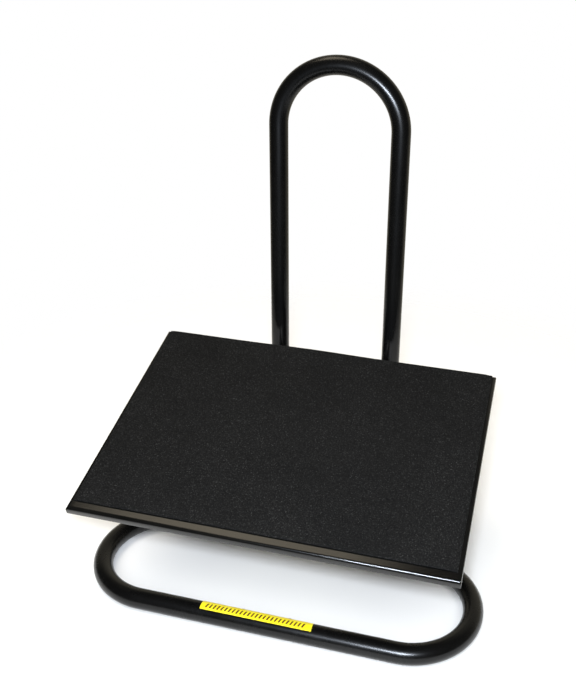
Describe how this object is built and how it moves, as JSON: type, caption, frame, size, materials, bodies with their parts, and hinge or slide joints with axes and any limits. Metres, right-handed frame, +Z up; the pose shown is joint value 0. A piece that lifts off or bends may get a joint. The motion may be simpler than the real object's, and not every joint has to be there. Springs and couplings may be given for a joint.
{
  "type": "footrest stand",
  "caption": "Standing footrest: bent black tube base with a tall handle hoop and a tilted, mat-topped steel platform that lifts, slides and jams on the two legs.",
  "frame": {"origin": "middle of the object's box, on the floor", "axes": "+Z up, +Y towards the handle legs, -Y the low front edge of the platform, +X to the right seen from the front"},
  "size_m": [0.52, 0.3962, 0.6465],
  "materials": {
    "frame_black": "black satin powder coat",
    "pan_black": "black satin powder coat on folded sheet",
    "mat_black": "matt, fine pebbled grain",
    "rubber_black": "matt",
    "zinc": "bright zinc plate",
    "nylon": "natural nylon",
    "label_yellow": "yellow vinyl with plain dark dashes"
  },
  "bodies": {
    "frame": {"handle_hoop": "frame_black", "base_tube_left": "frame_black", "base_tube_right": "frame_black", "leg_spigot_left": "zinc", "leg_spigot_right": "zinc", "splice_sleeve": "zinc", "leg_screw_left_lower": "zinc", "leg_screw_left_upper": "zinc", "leg_screw_right_lower": "zinc", "leg_screw_right_upper": "zinc", "splice_screw_left": "zinc", "splice_screw_right": "zinc", "front_glide_left": "rubber_black", "front_glide_right": "rubber_black", "rear_glide_left": "rubber_black", "rear_glide_right": "rubber_black", "label_strip": "label_yellow"},
    "slider": {"upper_bar": "zinc", "upper_spacer": "zinc", "upper_sleeve_left": "rubber_black", "upper_sleeve_right": "rubber_black", "upper_cap_nut_left": "zinc", "upper_cap_nut_right": "zinc", "upper_washer_left": "nylon", "upper_washer_right": "nylon"},
    "platform": {"pan": "pan_black", "mat": "mat_black", "arm_left": "frame_black", "arm_right": "frame_black", "stud_nut_left_rear": "zinc", "stud_nut_left_middle": "zinc", "stud_nut_left_front": "zinc", "stud_nut_right_rear": "zinc", "stud_nut_right_middle": "zinc", "stud_nut_right_front": "zinc", "weld_stud_left_rear": "zinc", "weld_stud_left_middle": "zinc", "weld_stud_left_front": "zinc", "weld_stud_right_rear": "zinc", "weld_stud_right_middle": "zinc", "weld_stud_right_front": "zinc", "lower_bar": "zinc", "lower_spacer": "zinc", "lower_sleeve_left": "rubber_black", "lower_sleeve_right": "rubber_black", "lower_cap_nut_left": "zinc", "lower_cap_nut_right": "zinc", "lower_washer_left": "nylon", "lower_washer_right": "nylon"}
  },
  "joints": [
    {"name": "height_slide", "type": "slide", "parent": "frame", "child": "slider", "axis": [0, 0, 1], "range_m": [-0.015, 0.33]},
    {"name": "lift_release", "type": "hinge", "parent": "slider", "child": "platform", "pos_m": [0, 0.18414, 0.1865], "axis": [-1, 0, 0], "range_deg": [0, 6]}
  ]
}
